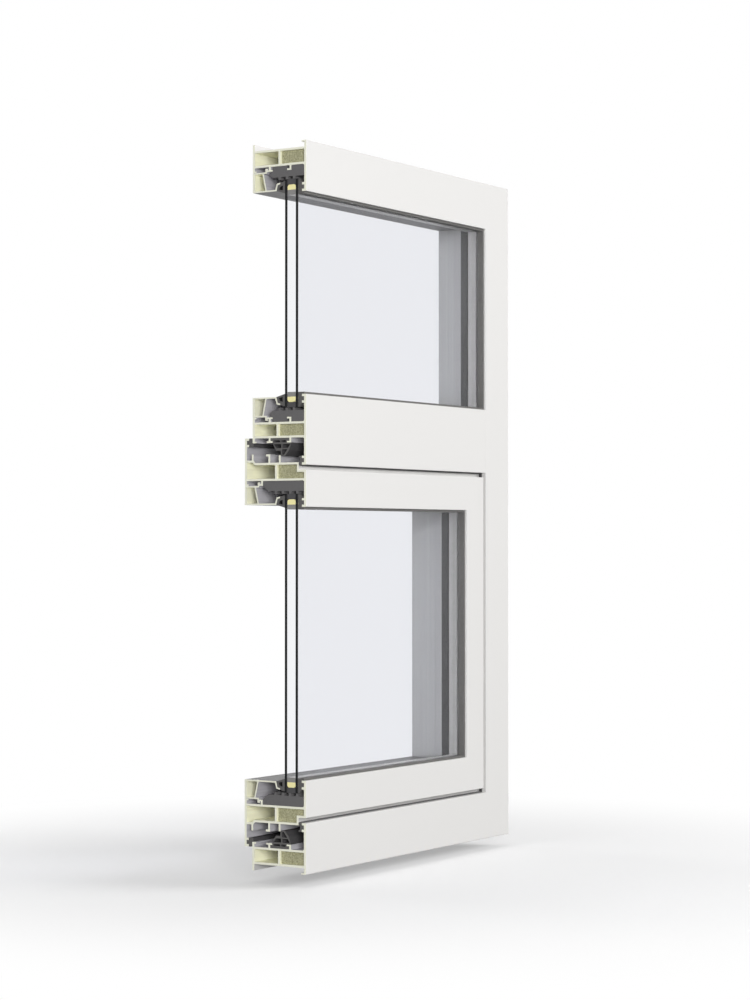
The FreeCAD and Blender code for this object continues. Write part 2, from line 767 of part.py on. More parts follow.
# The weather stop: a foot in the frame's groove and two lobes against the sash's corner.
STOP = "(lip + fit)"
STOP_TIP = f"({STOP} + stop_width)"
STOP_WAIST = f"({STOP} + stop_width / 2)"
ring(
    "stop_gasket",
    [
        [
            (STOP, "-seal_wall"),
            (f"{STOP} + seal_wall", "-seal_wall"),
            (STOP_TIP, "0", TIP_ROUND),
            (STOP_TIP, "seal_wall", TIP_ROUND),
            (STOP_WAIST, "lip_wall + seal_wall"),
            (STOP_WAIST, "lip_wall + groove"),
            (STOP_TIP, "lip_wall + groove + seal_wall", TIP_ROUND),
            (STOP_TIP, "2 * lip_wall + groove", TIP_ROUND),
            (STOP, "2 * lip_wall + groove"),
            (STOP, "lip_wall + groove - fit"),
            ("skin + fit", "lip_wall + groove - fit"),
            ("skin + fit", "lip_wall + fit"),
            (STOP, "lip_wall + fit"),
        ]
    ],
    VENT,
)

# The centre gasket: it clips between the two hooks of the frame, hangs as three rows of cells,
# and its leg closes on the sash's guard lip.
DEEP = "(rebate - fit)"
HOOK_IN = "(rebate - hook + hook_wall + fit)"
HOOK_OUT = "(rebate - hook - fit)"
NEAR_IN = "(near_hook + wall + fit)"
NEAR_END = "(near_hook + near_hook_reach + fit)"
FAR_IN = f"({FAR_HOOK} - fit)"
FAR_END = f"({FAR_HOOK} - far_hook_reach - fit)"
LEG = "(guard_lip - fit)"
LEG_BACK = f"({LEG} - 4 * seal_wall)"
LEG_TIP = "(corner - sash_gap + guard_height - seal_wall / 2)"
ROW = f"({HOOK_OUT} - 5 * seal_wall)"
ROW_END = f"(({LEG} + 2 * {FAR_END}) / 3)"
TOP_CELL = (f"{HOOK_OUT} + seal_wall / 2", f"{HOOK_OUT} + 2 * seal_wall")
ring(
    "centre_gasket",
    [
        [
            (NEAR_IN, DEEP),
            (FAR_IN, DEEP),
            (FAR_IN, HOOK_IN),
            (FAR_END, HOOK_IN),
            (FAR_END, HOOK_OUT),
            (ROW_END, ROW, TIP_ROUND),
            (f"{ROW_END} - seal_wall", f"{ROW} - seal_wall", TIP_ROUND),
            (LEG, f"{ROW} - seal_wall"),
            (LEG, LEG_TIP, TIP_ROUND),
            (LEG_BACK, LEG_TIP, TIP_ROUND),
            ("near_hook + 2 * seal_wall", f"{ROW} - seal_wall", TIP_ROUND),
            ("near_hook", HOOK_OUT),
            (NEAR_END, HOOK_OUT),
            (NEAR_END, HOOK_IN),
            (NEAR_IN, HOOK_IN),
        ],
        box(f"{NEAR_END} + seal_wall", f"{LEG} - seal_wall / 2", *TOP_CELL),
        box(f"{LEG} + seal_wall / 2", f"{FAR_END} - seal_wall", *TOP_CELL),
        [
            ("near_hook + seal_wall", f"{HOOK_OUT} - seal_wall"),
            ("near_hook + 3 * seal_wall", f"{ROW} + seal_wall"),
            (f"{LEG} - 3 * seal_wall / 2", f"{ROW} + seal_wall"),
            (f"{LEG} - 3 * seal_wall / 2", f"{HOOK_OUT} - seal_wall"),
        ],
        [
            (f"{LEG} - seal_wall / 2", f"{HOOK_OUT} - seal_wall"),
            (f"{LEG} - seal_wall / 2", f"{ROW} + seal_wall"),
            (f"{ROW_END} - seal_wall", f"{ROW} + seal_wall"),
            (f"{FAR_END} - seal_wall", f"{HOOK_OUT} - seal_wall"),
        ],
        [
            ("near_hook + 7 * seal_wall / 2", ROW),
            (f"{LEG_BACK} + seal_wall", f"{LEG_TIP} + seal_wall"),
            (f"{LEG} - seal_wall", f"{LEG_TIP} + seal_wall"),
            (f"{LEG} - seal_wall", ROW),
        ],
    ],
    VENT,
)

# The overlap gasket: a foot in the groove of the sash's flange and a soft head on the frame's
# interior face.
FLANGE_END = "(overlap - sash_gap)"
FOOT_HIGH = f"({FLANGE_END} - lip_wall - fit)"
FOOT_LOW = f"({FLANGE_END} - lip_wall - groove + fit)"
GROOVE_FACE = f"({SASH_BACK} - lip + skin - fit)"
FRAME_BACK = "(frame_depth + fit)"
ring(
    "overlap_gasket",
    [
        [
            (f"{SASH_BACK} - fit", FOOT_LOW),
            (f"{SASH_BACK} - fit", FOOT_HIGH),
            (GROOVE_FACE, FOOT_HIGH),
            (GROOVE_FACE, FLANGE_END, TIP_ROUND),
            (f"{FRAME_BACK} + seal_wall", FLANGE_END, TIP_ROUND),
            (FRAME_BACK, f"{FLANGE_END} - seal_wall", TIP_ROUND),
            (FRAME_BACK, f"{HOOK_OUT} - fit"),
            (f"{FRAME_BACK} - seal_wall", f"{HOOK_OUT} - fit"),
            (f"{FRAME_BACK} - seal_wall", f"{FOOT_LOW} - 2 * seal_wall", TIP_ROUND),
            (GROOVE_FACE, f"{FOOT_LOW} - 2 * seal_wall", TIP_ROUND),
            (GROOVE_FACE, FOOT_LOW),
        ]
    ],
    VENT,
)

doc.recompute()

faults = [item.Name for item in doc.Objects if {"Invalid", "Error"} & set(item.State)]
faults += [
    part.Label for part in subparts if part.Shape.isNull() or not part.Shape.isValid()
]
if faults:
    raise SystemExit("failed: " + ", ".join(faults))

os.makedirs("parts", exist_ok=True)
for part in subparts:
    part.Shape.exportStep(os.path.join("parts", part.Label + ".step"))
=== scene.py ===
import math

import bpy
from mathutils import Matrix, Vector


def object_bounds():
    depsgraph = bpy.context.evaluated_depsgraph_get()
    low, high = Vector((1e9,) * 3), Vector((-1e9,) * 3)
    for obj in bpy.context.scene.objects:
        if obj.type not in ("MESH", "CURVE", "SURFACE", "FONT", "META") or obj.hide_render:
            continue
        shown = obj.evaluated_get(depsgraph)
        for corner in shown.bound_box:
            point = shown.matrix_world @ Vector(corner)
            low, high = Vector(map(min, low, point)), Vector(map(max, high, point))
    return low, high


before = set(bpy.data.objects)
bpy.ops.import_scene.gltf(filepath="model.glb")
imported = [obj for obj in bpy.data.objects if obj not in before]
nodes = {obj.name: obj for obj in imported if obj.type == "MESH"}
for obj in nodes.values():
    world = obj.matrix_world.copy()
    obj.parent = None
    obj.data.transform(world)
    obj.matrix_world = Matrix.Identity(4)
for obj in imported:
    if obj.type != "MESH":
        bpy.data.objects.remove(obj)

# The box of the whole sample, before anything is added to it.
CAD_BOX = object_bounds()


# The camera, at the corner that the sample was pictured from.
# It stands off the cut end, a little below the middle of the height, and looks slantwise along
# the glass.
LOW, HIGH = (tuple(map(float, corner)) for corner in CAD_BOX)
MM = 0.001
LENS_PIXELS = 2455.88
LONG_SIDE_PIXELS = 1000
SENSOR = 36.0
CAMERA_TURN = math.radians(57.48)
CAMERA_RISE = math.radians(0.971)
CAMERA_FROM_CUT_CORNER = (-2018.07 * MM, -1367.79 * MM, 329.98 * MM)
NEAREST_SEEN = 50 * MM
FARTHEST_SEEN = 50.0

camera_data = bpy.data.cameras.new("camera")
camera_data.sensor_width = SENSOR
camera_data.lens = LENS_PIXELS / LONG_SIDE_PIXELS * SENSOR
camera_data.clip_start = NEAREST_SEEN
camera_data.clip_end = FARTHEST_SEEN
camera = bpy.data.objects.new("camera", camera_data)
camera.location = tuple(LOW[i] + CAMERA_FROM_CUT_CORNER[i] for i in range(3))
camera.rotation_euler = (math.pi / 2 + CAMERA_RISE, 0.0, -CAMERA_TURN)
scene = bpy.context.scene
scene.collection.objects.link(camera)
scene.camera = camera


# The room: plain white where it is seen, in a mirror or through glass too, and weaker where it
# lights the sample. Four large soft lamps stand in it: two outside, towards the face and the cut
# end, a weak one above, and one on the room side.
ROOM_STRENGTH = 0.3
WHITE_STRENGTH = 1.0
WHITE = (1.0, 1.0, 1.0, 1.0)


def maths(tree, operation, first, second=0.0):
    """One sum on two sockets or numbers."""
    node = tree.nodes.new("ShaderNodeMath")
    node.operation = operation
    for socket, value in ((node.inputs[0], first), (node.inputs[1], second)):
        if isinstance(value, (int, float)):
            socket.default_value = value
        else:
            tree.links.new(value, socket)
    return node.outputs["Value"]


def mix_shaders(tree, mask, under, over):
    """The over shader where the mask is one and the under shader elsewhere."""
    node = tree.nodes.new("ShaderNodeMixShader")
    tree.links.new(mask, node.inputs["Fac"])
    tree.links.new(under, node.inputs[1])
    tree.links.new(over, node.inputs[2])
    return node.outputs["Shader"]


def seen_ray(tree):
    """One where a ray comes from the camera, from a mirror or through glass, else nought."""
    path = tree.nodes.new("ShaderNodeLightPath")
    total = path.outputs["Is Camera Ray"]
    for ray in ("Is Glossy Ray", "Is Transmission Ray"):
        total = maths(tree, "MAXIMUM", total, path.outputs[ray])
    return total


def white_wall(tree, strength):
    """The room's white at one strength."""
    wall = tree.nodes.new("ShaderNodeBackground")
    wall.inputs["Color"].default_value = WHITE
    wall.inputs["Strength"].default_value = strength
    return wall.outputs["Background"]


scene.view_settings.view_transform = "Standard"
world = bpy.data.worlds.new("white_room")
scene.world = world
world.use_nodes = True
room = world.node_tree
room.nodes.clear()
room_out = room.nodes.new("ShaderNodeOutputWorld")
room.links.new(
    mix_shaders(room, seen_ray(room), white_wall(room, ROOM_STRENGTH),
                white_wall(room, WHITE_STRENGTH)),
    room_out.inputs["Surface"],
)

# Each lamp: where it stands, the point that it faces, its side in metres and its power in watts.
LAMPS = {
    "front_lamp": ((1.9, -3.1, 1.6), (0.0, 0.0, -0.2), 2.0, 104.0),
    "cut_end_lamp": ((-2.6, -2.2, 0.5), (0.0, 0.0, 0.3), 1.5, 96.0),
    "top_lamp": ((0.1, 0.0, 3.2), (0.0, 0.01, 0.0), 2.0, 8.0),
    "room_side_lamp": ((0.3, 3.6, 0.5), (0.0, 0.0, 0.4), 1.2, 64.0),
}
for lamp_name, (place, aim, side, power) in LAMPS.items():
    lamp_data = bpy.data.lights.new(lamp_name, "AREA")
    lamp_data.shape = "SQUARE"
    lamp_data.size = side
    lamp_data.energy = power
    lamp = bpy.data.objects.new(lamp_name, lamp_data)
    lamp.location = place
    run = [aim[i] - place[i] for i in range(3)]
    flat = math.hypot(run[0], run[1])
    lamp.rotation_euler = (math.pi / 2 + math.atan2(run[2], flat), 0.0, math.atan2(-run[0], run[1]))
    scene.collection.objects.link(lamp)


# The floor: a pale matt sheet a little below the sill, which takes the sample's soft shadow.
# It throws little light up, and away from the sample it fades to the room's white.
FLOOR_SIDE = 12.0
FLOOR_LEVEL = -13 * MM
FLOOR_COLOUR = (0.97, 0.97, 0.975)
FLOOR_BOUNCE = (0.2, 0.2, 0.2)
# The share of plain white up to the near distance from the middle. From there it rises, and from
# the far distance on the floor is plain white.
FLOOR_LIFT = 0.27
FLOOR_NEAR = 0.25
FLOOR_FAR = 0.75


def blend_colours(tree, mask, under, over):
    """The over colour where the mask is one and the under colour elsewhere."""
    node = tree.nodes.new("ShaderNodeMix")
    node.data_type = "RGBA"
    tree.links.new(mask, node.inputs["Factor"])
    for socket, value in ((node.inputs["A"], under), (node.inputs["B"], over)):
        if isinstance(value, tuple):
            socket.default_value = (*value, 1.0)
        else:
            tree.links.new(value, socket)
    return node.outputs["Result"]


floor_mesh = bpy.data.meshes.new("floor")
half = FLOOR_SIDE / 2
floor_mesh.from_pydata(
    [(-half, -half, 0.0), (half, -half, 0.0), (half, half, 0.0), (-half, half, 0.0)],
    [],
    [(0, 1, 2, 3)],
)
floor = bpy.data.objects.new("floor", floor_mesh)
floor.location = (0.0, 0.0, FLOOR_LEVEL)
scene.collection.objects.link(floor)
floor_material = bpy.data.materials.new("pale_floor")
floor_material.use_nodes = True
tree = floor_material.node_tree
tree.nodes.clear()
floor_out = tree.nodes.new("ShaderNodeOutputMaterial")
floor_matt = tree.nodes.new("ShaderNodeBsdfDiffuse")
floor_white = tree.nodes.new("ShaderNodeEmission")
floor_place = tree.nodes.new("ShaderNodeTexCoord")
floor_reach = tree.nodes.new("ShaderNodeVectorMath")
floor_reach.operation = "LENGTH"
floor_fade = tree.nodes.new("ShaderNodeMapRange")
floor_fade.interpolation_type = "SMOOTHSTEP"
for socket, value in (("From Min", FLOOR_NEAR), ("From Max", FLOOR_FAR), ("To Min", FLOOR_LIFT),
                      ("To Max", 1.0)):
    floor_fade.inputs[socket].default_value = value
floor_seen = seen_ray(tree)
tree.links.new(blend_colours(tree, floor_seen, FLOOR_BOUNCE, FLOOR_COLOUR),
               floor_matt.inputs["Color"])
tree.links.new(floor_place.outputs["Object"], floor_reach.inputs[0])
tree.links.new(floor_reach.outputs["Value"], floor_fade.inputs["Value"])
floor_lift = maths(tree, "MULTIPLY", floor_seen, floor_fade.outputs["Result"])
tree.links.new(
    mix_shaders(tree, floor_lift, floor_matt.outputs["BSDF"], floor_white.outputs["Emission"]),
    floor_out.inputs["Surface"],
)
floor_mesh.materials.append(floor_material)


# The frame's profiles: head, sill, jamb and transom, pultruded in glass fibre. The corners are
# mitred, and the transom is coped round the jamb. They are white outside and grey in the rebates,
# and the raw cream laminate shows in the chambers and on the sawn ends.
CUT_X = LOW[0]
FRONT_Y = LOW[1]
FRAME_HEIGHT = HIGH[2]
FRAME_DEPTH = 65 * MM
FRAME_FACE = 51 * MM
TRANSOM_FACE = 70.4 * MM
VENT_HEIGHT = 355.5 * MM
TRANSOM_LEVEL = FRAME_FACE + VENT_HEIGHT + TRANSOM_FACE / 2
# Faces and chamber walls, the flange below the chambers, and the rebate from the sight line down.
SKIN = 2.4 * MM
WALL = 2.1 * MM
FLANGE = 6.6 * MM
REBATE = 27.2 * MM
FRAME_FLOOR = FRAME_FACE - REBATE
TRANSOM_FLOOR = TRANSOM_FACE / 2 - REBATE
# The depth where the rebate's grey starts, and how far a finish's limits stand off its faces.
FRAME_GREY_FROM = 5.2 * MM
HAIR = 0.25 * MM
WHITE_PAINT = (0.665, 0.657, 0.645)
REBATE_GREY = (0.55, 0.54, 0.565)
RAW_LAMINATE = (0.98, 0.97, 0.77)
SAWN_LAMINATE = (0.90, 0.90, 0.76)
# Faint lines run along a profile: upright ones on the jamb, level ones on the rest.
UPRIGHT = (1.0, 1.0, 0.004)
LEVEL = (0.004, 1.0, 1.0)
PAINT_LINES = 0.25
RAW_LINES = 0.12
SAWN_FIBRES = 1.08
PROFILE_ROUGHNESS = 0.36
ROUGHNESS_SPREAD = 0.12
PAINT_MIRROR = 0.15


def new_material(name):
    """A material, its tree and its principled shader."""
    made = bpy.data.materials.new(name)
    made.use_nodes = True
    return made, made.node_tree, made.node_tree.nodes["Principled BSDF"]


def put(material, *names):
    """Gives a material to the nodes of those names."""
    for name in names:
        mesh = nodes[name].data
        mesh.materials.clear()
        mesh.materials.append(material)


def position(tree):
    """Where a point of the surface lies, as X, Y and Z in metres."""
    place = tree.nodes.new("ShaderNodeTexCoord")
    parts = tree.nodes.new("ShaderNodeSeparateXYZ")
    tree.links.new(place.outputs["Object"], parts.inputs["Vector"])
    return [parts.outputs[axis] for axis in "XYZ"]


def between(tree, value, low, high):
    """One where a value lies between two limits, else nought."""
    above = maths(tree, "GREATER_THAN", value, low)
    below = maths(tree, "LESS_THAN", value, high)
    return maths(tree, "MULTIPLY", above, below)


def sawn_end(tree, x):
    """One on the sawn ends, else nought."""
    return maths(tree, "LESS_THAN", x, CUT_X + HAIR)


def noise(tree, scale, detail=2.0, stretch=(1.0, 1.0, 1.0)):
    """Soft noise over the object's own position."""
    place = tree.nodes.new("ShaderNodeTexCoord")
    mapped = tree.nodes.new("ShaderNodeMapping")
    mapped.inputs["Scale"].default_value = stretch
    grain = tree.nodes.new("ShaderNodeTexNoise")
    grain.inputs["Scale"].default_value = scale
    grain.inputs["Detail"].default_value = detail
    tree.links.new(place.outputs["Object"], mapped.inputs["Vector"])
    tree.links.new(mapped.outputs["Vector"], grain.inputs["Vector"])
    return grain.outputs["Fac"]


def bump(tree, shader, height, strength, distance):
    """Raises the surface by a height texture."""
    node = tree.nodes.new("ShaderNodeBump")
    node.inputs["Strength"].default_value = strength
    node.inputs["Distance"].default_value = distance
    tree.links.new(height, node.inputs["Height"])
    tree.links.new(node.outputs["Normal"], shader.inputs["Normal"])


def shaded(tree, pattern, colour, least, most):
    """A colour that runs with a pattern from least to most of itself."""
    return blend_colours(tree, pattern, tuple(least * c for c in colour),
                         tuple(most * c for c in colour))


def drawn(tree, colour, stretch, spread):
    """A colour with the faint lines that the die leaves along a profile."""
    lines = noise(tree, scale=380.0, detail=5.0, stretch=stretch)
    return shaded(tree, lines, colour, 1 - spread, 1 + spread)


def satin(tree, shader, roughness):
    """Satin paint: a soft mottle in the gloss, and the slight unevenness of a sprayed coat."""
    mottle = maths(tree, "MULTIPLY", noise(tree, scale=90.0, detail=4.0), ROUGHNESS_SPREAD)
    tree.links.new(maths(tree, "ADD", mottle, roughness), shader.inputs["Roughness"])
    shader.inputs["Specular IOR Level"].default_value = PAINT_MIRROR
    bump(tree, shader, noise(tree, scale=350.0), strength=0.06, distance=0.4 * MM)


def profile_material(name, height_of, chamber, rebate, back, grey_from, stretch):
    """The finish of one profile. height_of gives the height from its outer edge, chamber the
    place of its raw inside and rebate the heights of its grey. The grey starts at the
    depth grey_from, and back is the depth of the room side."""
    made, tree, shader = new_material(name)
    x, y, z = position(tree)
    deep = maths(tree, "SUBTRACT", y, FRONT_Y)
    high = height_of(tree, x, z)
    inside = between(tree, deep, SKIN - HAIR, back - SKIN + HAIR)
    raw = maths(tree, "MULTIPLY", inside, chamber(tree, deep, high))
    grey = maths(tree, "MULTIPLY", between(tree, deep, grey_from, back - HAIR),
                 rebate(tree, high))
    painted = blend_colours(tree, grey, WHITE_PAINT,
                            drawn(tree, REBATE_GREY, stretch, PAINT_LINES))
    lined = blend_colours(tree, raw, painted, drawn(tree, RAW_LAMINATE, stretch, RAW_LINES))
    fibres = noise(tree, scale=900.0, detail=3.0, stretch=(1.0, 2.0, 2.0))
    speck = shaded(tree, fibres, SAWN_LAMINATE, 1.0, SAWN_FIBRES)
    tree.links.new(blend_colours(tree, sawn_end(tree, x), lined, speck),
                   shader.inputs["Base Color"])
    satin(tree, shader, PROFILE_ROUGHNESS)
    return made


def from_foot(tree, x, z):
    """The height above the sill's foot."""
    return z


def from_head(tree, x, z):
    """The distance below the head's top."""
    return maths(tree, "SUBTRACT", FRAME_HEIGHT, z)


def from_jamb(tree, x, z):
    """The distance in from the jamb's outer side."""
    return maths(tree, "SUBTRACT", HIGH[0], x)


def from_transom(tree, x, z):
    """The distance from the transom's middle line, above or below it."""
    return maths(tree, "ABSOLUTE", maths(tree, "SUBTRACT", z, TRANSOM_LEVEL))


def row(low, high):
    """Where a straight row of chambers lies, between two heights."""
    return lambda tree, deep, level: between(tree, level, low - HAIR, high + HAIR)


def past(floor_height):
    """Where a rebate lies, from its floor upward."""
    return lambda tree, high: maths(tree, "GREATER_THAN", high, floor_height - HAIR)


for piece, height_of, stretch in (
    ("sill", from_foot, LEVEL),
    ("head", from_head, LEVEL),
    ("jamb", from_jamb, UPRIGHT),
):
    put(profile_material(piece + "_profile", height_of, row(FLANGE + WALL, FRAME_FLOOR - WALL),
                         past(FRAME_FLOOR), FRAME_DEPTH, FRAME_GREY_FROM, stretch), piece)
put(profile_material("transom_profile", from_transom, row(0.0, TRANSOM_FLOOR - WALL),
                     past(TRANSOM_FLOOR), FRAME_DEPTH, FRAME_GREY_FROM, LEVEL), "transom")


# The sash's profiles: top rail, bottom rail and stile, of the same laminate and paint as the
# frame's and mitred like them. They have a glazing rebate inside, and outside the hardware
# groove, which is grey too. Heights are from the outer edge of the exterior face.
SASH_DEPTH = HIGH[1] - LOW[1]
SASH_GAP = 5 * MM
SASH_TOP = FRAME_FACE + VENT_HEIGHT - SASH_GAP
SASH_FOOT = FRAME_FACE + SASH_GAP
SASH_RIGHT = HIGH[0] - FRAME_FACE - SASH_GAP
SASH_FACE = 37 * MM
SASH_REBATE = 26.4 * MM
SASH_FLOOR = SASH_FACE - SASH_REBATE
SASH_GREY_FROM = 9.5 * MM
# The chambers' outer side steps out twice: behind the corner rebate, and near the room side.
CORNER_DEPTH = 9 * MM
CORNER = 7.5 * MM
BACK_STEP_FROM = 64 * MM
BACK_STEP = 2.6 * MM
SASH_STEPS = (
    (SKIN, WALL),
    (CORNER_DEPTH + WALL, WALL - CORNER),
    (BACK_STEP_FROM, WALL - CORNER - BACK_STEP),
)


def from_sash_top(tree, x, z):
    """The distance below the top edge of the sash's face."""
    return maths(tree, "SUBTRACT", SASH_TOP, z)


def from_sash_foot(tree, x, z):
    """The height above the lower edge of the sash's face."""
    return maths(tree, "SUBTRACT", z, SASH_FOOT)


def from_sash_right(tree, x, z):
    """The distance in from the right edge of the sash's face."""
    return maths(tree, "SUBTRACT", SASH_RIGHT, x)


def sash_chamber(tree, deep, high):
    """Where the sash's chambers lie, between their stepped outer side and the rebate's floor."""
    raw = maths(tree, "MULTIPLY", 0.0, high)
    for start, foot in SASH_STEPS:
        step = maths(tree, "MULTIPLY", maths(tree, "GREATER_THAN", deep, start - HAIR),
                     maths(tree, "GREATER_THAN", high, foot - HAIR))
        raw = maths(tree, "MAXIMUM", raw, step)
    under_floor = maths(tree, "LESS_THAN", high, SASH_FLOOR - WALL + HAIR)
    return maths(tree, "MULTIPLY", raw, under_floor)


def sash_rebates(tree, high):
    """Both sides of the sash's chambers: the glazing rebate and the side towards the frame."""
    glazed = maths(tree, "GREATER_THAN", high, SASH_FLOOR - HAIR)
    outer = maths(tree, "LESS_THAN", high, -HAIR)
    return maths(tree, "MAXIMUM", glazed, outer)


for finish, piece, height_of, stretch in (
    ("sash_top_profile", "sash_top_rail", from_sash_top, LEVEL),
    ("sash_foot_profile", "sash_bottom_rail", from_sash_foot, LEVEL),
    ("sash_stile_profile", "sash_stile", from_sash_right, UPRIGHT),
):
    put(profile_material(finish, height_of, sash_chamber, sash_rebates, SASH_DEPTH,
                         SASH_GREY_FROM, stretch), piece)


# The foam fillings of the exterior chambers: granules of olive insulating foam, bonded into bars.
# They are pushed in from the end and stop a little short of the cut.
FOAM_COLOURS = ((0.095, 0.089, 0.042), (0.735, 0.72, 0.475))


def granules(tree, scale):
    """How far a point of the surface is from the middle of its granule."""
    place = tree.nodes.new("ShaderNodeTexCoord")
    cells = tree.nodes.new("ShaderNodeTexVoronoi")
    cells.inputs["Scale"].default_value = scale
    tree.links.new(place.outputs["Object"], cells.inputs["Vector"])
    return cells.outputs["Distance"]


def surface(shader, roughness, mirror=0.5):
    """How rough a surface is, and how strongly it mirrors."""
    shader.inputs["Roughness"].default_value = roughness
    shader.inputs["Specular IOR Level"].default_value = mirror


foam_material, tree, shader = new_material("olive_foam")
foam_grain = noise(tree, scale=700.0, detail=3.0)
tree.links.new(blend_colours(tree, foam_grain, *FOAM_COLOURS), shader.inputs["Base Color"])
surface(shader, roughness=0.95, mirror=0.1)
bump(tree, shader, granules(tree, scale=650.0), strength=0.6, distance=0.6 * MM)
put(foam_material, "head_foam", "sill_foam", "jamb_foam", "transom_foam", "sash_top_foam",
    "sash_bottom_foam", "sash_stile_foam")


# The foam blocks in the glazing rebates: grey closed-cell foam, cut with a toothed front.
# They lie on the chamber wall, and their teeth meet the edge of the glass.
BLOCK_COLOURS = ((0.13, 0.127, 0.129), (0.165, 0.161, 0.163))
block_material, tree, shader = new_material("grey_foam")
tree.links.new(blend_colours(tree, noise(tree, scale=700.0, detail=4.0), *BLOCK_COLOURS),
               shader.inputs["Base Color"])
surface(shader, roughness=0.9, mirror=0.2)
bump(tree, shader, noise(tree, scale=1500.0, detail=3.0), strength=0.25, distance=0.3 * MM)
put(block_material, "fixed_block", "sash_block")


# The panes: clear float glass, 3 mm thick, two to a light with a 10 mm cavity between them.
# They mirror little, and their cut edges are nearly black, with a painted highlight along the
# exterior side of each edge: a line that is a little paler.
GLASS_TINT = (0.905, 0.91, 0.93)
GLASS_INDEX = 1.2
PANE_EDGE = (0.012, 0.013, 0.014)
EDGE_HIGHLIGHT = (0.05, 0.047, 0.048)
EDGE_HIGHLIGHT_WIDTH = 0.8 * MM
# A pane's face looks along Y, so a normal with less of Y than this belongs to its edge.
EDGE_NORMAL = 0.5


def pane_material(name, front):
    """Clear glass that lets light through in shadows, with a dark edge. front is the Y of the
    pane's exterior side, where the painted highlight lies."""
    made, tree, glass = new_material(name)
    surface(glass, roughness=0.0)
    glass.inputs["Base Color"].default_value = (*GLASS_TINT, 1.0)
    glass.inputs["IOR"].default_value = GLASS_INDEX
    glass.inputs["Transmission Weight"].default_value = 1.0
    edge = tree.nodes.new("ShaderNodeBsdfPrincipled")
    surface(edge, roughness=0.6, mirror=0.1)
    # A painted highlight: a paler line along the exterior side of the edge.
    highlight_band = maths(tree, "LESS_THAN", position(tree)[1], front + EDGE_HIGHLIGHT_WIDTH)
    tree.links.new(blend_colours(tree, highlight_band, PANE_EDGE, EDGE_HIGHLIGHT), edge.inputs["Base Color"])
    clear = tree.nodes.new("ShaderNodeBsdfTransparent")
    clear.inputs["Color"].default_value = (*GLASS_TINT, 1.0)
    path = tree.nodes.new("ShaderNodeLightPath")
    facing = tree.nodes.new("ShaderNodeNewGeometry")
    split = tree.nodes.new("ShaderNodeSeparateXYZ")
    tree.links.new(facing.outputs["True Normal"], split.inputs["Vector"])
    is_edge = maths(tree, "LESS_THAN", maths(tree, "ABSOLUTE", split.outputs["Y"]), EDGE_NORMAL)
    through = mix_shaders(tree, path.outputs["Is Shadow Ray"], glass.outputs["BSDF"],
                          clear.outputs["BSDF"])
    whole = mix_shaders(tree, is_edge, through, edge.outputs["BSDF"])
    tree.links.new(whole, tree.nodes["Material Output"].inputs["Surface"])
    return made


for pane in ("fixed_outer_pane", "fixed_inner_pane", "sash_outer_pane", "sash_inner_pane"):
    pane_front = min(corner.co.y for corner in nodes[pane].data.vertices)
    put(pane_material(pane.replace("pane", "glass"), pane_front), pane)


# The edge of each glazing unit: a warm-edge spacer bar between the panes, with pale yellow
# desiccant granules behind it, and black sealant that closes the unit outside them.
SPACER_COLOUR = (0.222, 0.218, 0.212)
spacer_material, tree, shader = new_material("spacer_bar")
tree.links.new(shaded(tree, noise(tree, scale=200.0), SPACER_COLOUR, least=1.0, most=1.2),
               shader.inputs["Base Color"])
surface(shader, roughness=0.35)
put(spacer_material, "fixed_spacer", "sash_spacer")

# The yellow in the middle of a granule, and the deeper yellow at its rim, which is painted shade
# between the granules.
DESICCANT_MIDDLE = (1.0, 0.97, 0.58)
DESICCANT_RIM_SHADE = (1.0, 0.88, 0.36)
desiccant_material, tree, shader = new_material("desiccant")
desiccant_grain = granules(tree, scale=1100.0)
tree.links.new(blend_colours(tree, desiccant_grain, DESICCANT_MIDDLE, DESICCANT_RIM_SHADE),
               shader.inputs["Base Color"])
surface(shader, roughness=0.8)
bump(tree, shader, desiccant_grain, strength=0.4, distance=0.4 * MM)
put(desiccant_material, "fixed_desiccant", "sash_desiccant")

SEALANT_COLOUR = (0.035, 0.034, 0.036)
sealant_material, tree, shader = new_material("edge_sealant")
tree.links.new(shaded(tree, noise(tree, scale=300.0), SEALANT_COLOUR, least=1.0, most=1.5),
               shader.inputs["Base Color"])
surface(shader, roughness=0.5)
bump(tree, shader, noise(tree, scale=600.0), strength=0.2, distance=0.4 * MM)
put(sealant_material, "fixed_sealant", "sash_sealant")


# The rubber gaskets: extruded, clipped by their feet into the grooves and mitred at the corners.
# Two hold the panes of each light, outside and inside, and the other three close the gap between
# frame and sash. All are matt dark grey, with one grey where they are cut. Their three shades are
# painted shade: the outer gaskets lightest, the frame's gaskets in the gap darker, and the inner
# ones behind the glass darkest.
# The darker frame and inner shades are painted shade for their places in the gap and behind the
# glass.
OUTER_RUBBER = (0.135, 0.132, 0.127)
INNER_RUBBER_SHADED = (0.022, 0.0215, 0.021)
FRAME_RUBBER_SHADED = (0.082, 0.08, 0.082)
CUT_RUBBER = (0.125, 0.122, 0.12)
RUBBER_MOTTLE = 0.17


def rubber(name, colour):
    """Rubber of one shade, with the grey of the cut on its sawn end."""
    made, tree, shader = new_material(name)
    skin = shaded(tree, noise(tree, scale=500.0, detail=3.0), colour, 1 - RUBBER_MOTTLE,
                  1 + RUBBER_MOTTLE)
    tree.links.new(blend_colours(tree, sawn_end(tree, position(tree)[0]), skin, CUT_RUBBER),
                   shader.inputs["Base Color"])
    surface(shader, roughness=0.75, mirror=0.15)
    bump(tree, shader, noise(tree, scale=900.0), strength=0.08, distance=0.3 * MM)
    return made


